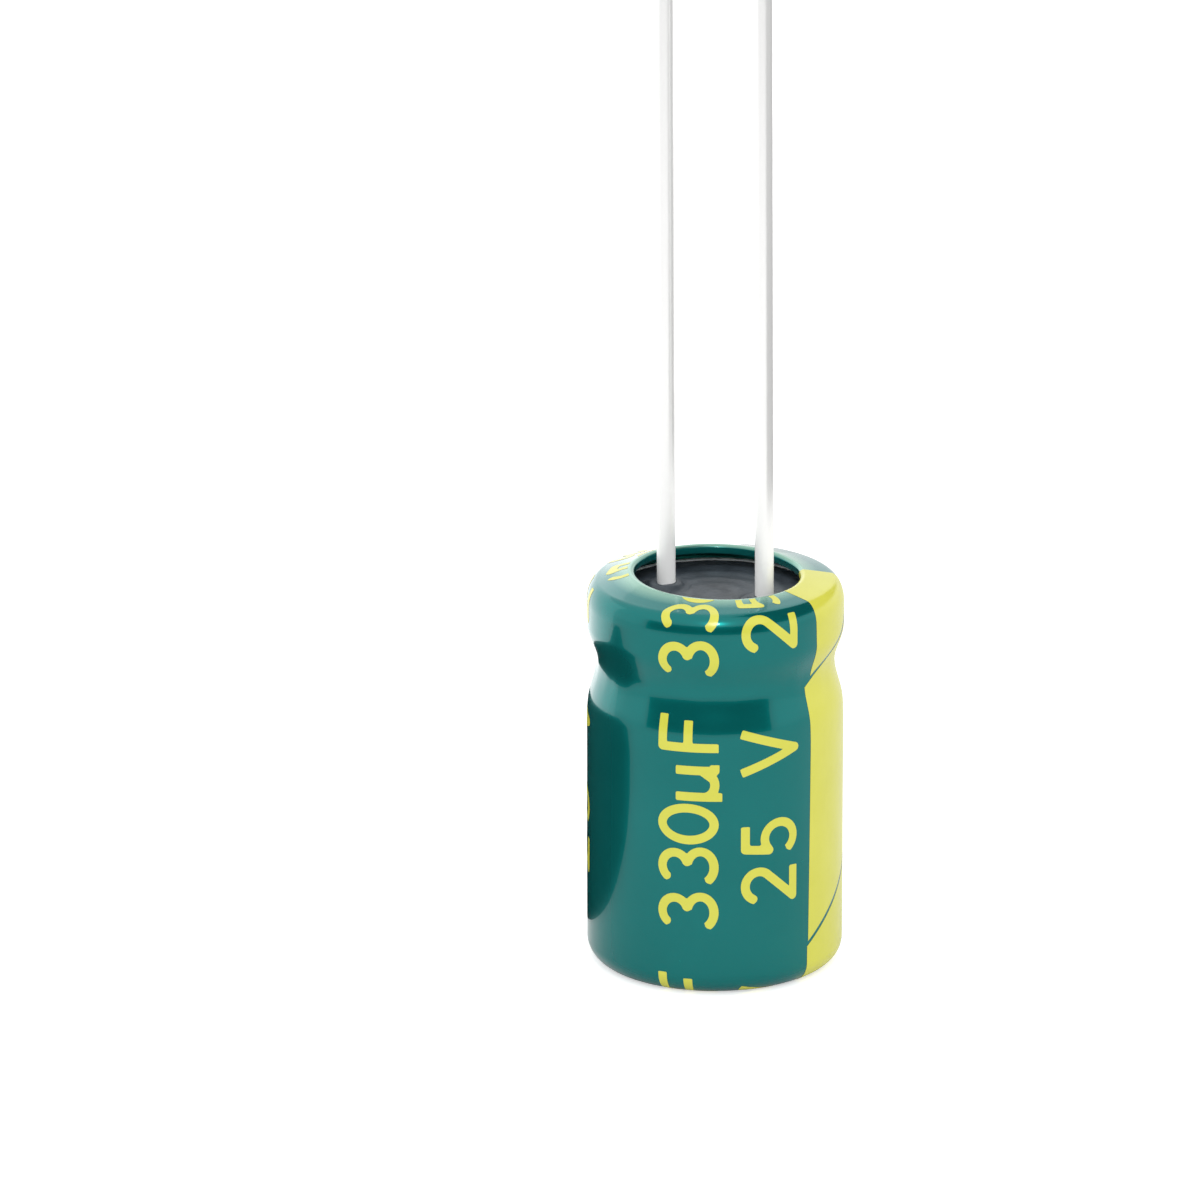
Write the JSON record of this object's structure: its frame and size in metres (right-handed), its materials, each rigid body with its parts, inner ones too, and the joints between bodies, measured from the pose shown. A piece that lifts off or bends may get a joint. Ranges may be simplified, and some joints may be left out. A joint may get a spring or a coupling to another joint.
{
  "type": "electrolytic capacitor",
  "caption": "Radial can capacitor: sleeved aluminium can with a crimped waist, rubber seal and two wire leads, wound foil element inside.",
  "frame": {"origin": "centre of the can's base, on the surface it stands on", "axes": "+Z along the can towards the leads; the leads lie on X, the negative one at +X"},
  "size_m": [0.0082, 0.0082, 0.0377],
  "materials": {
    "sleeve_film": "glossy shrunk plastic film, teal green",
    "yellow_ink": "glossy printed ink, yellow",
    "can_aluminium": "drawn, satin",
    "seal_rubber": "matt moulded rubber, dark blue grey",
    "tinned_wire": "bright tinned wire",
    "tab_aluminium": "pressed, satin",
    "etched_foil": "etched, matt grey",
    "plain_foil": "rolled, satin",
    "separator_paper": "soaked kraft paper",
    "closing_tape": "clear brown adhesive tape"
  },
  "bodies": {
    "root": {"sleeve": "sleeve_film", "polarity_stripe": "yellow_ink", "can": "can_aluminium", "bung": "seal_rubber", "lead_positive": "tinned_wire", "lead_negative": "tinned_wire", "tab_positive": "tab_aluminium", "tab_negative": "tab_aluminium", "anode_foil": "etched_foil", "cathode_foil": "plain_foil", "separator_inner": "separator_paper", "separator_outer": "separator_paper", "winding_tape": "closing_tape"}
  },
  "joints": []
}
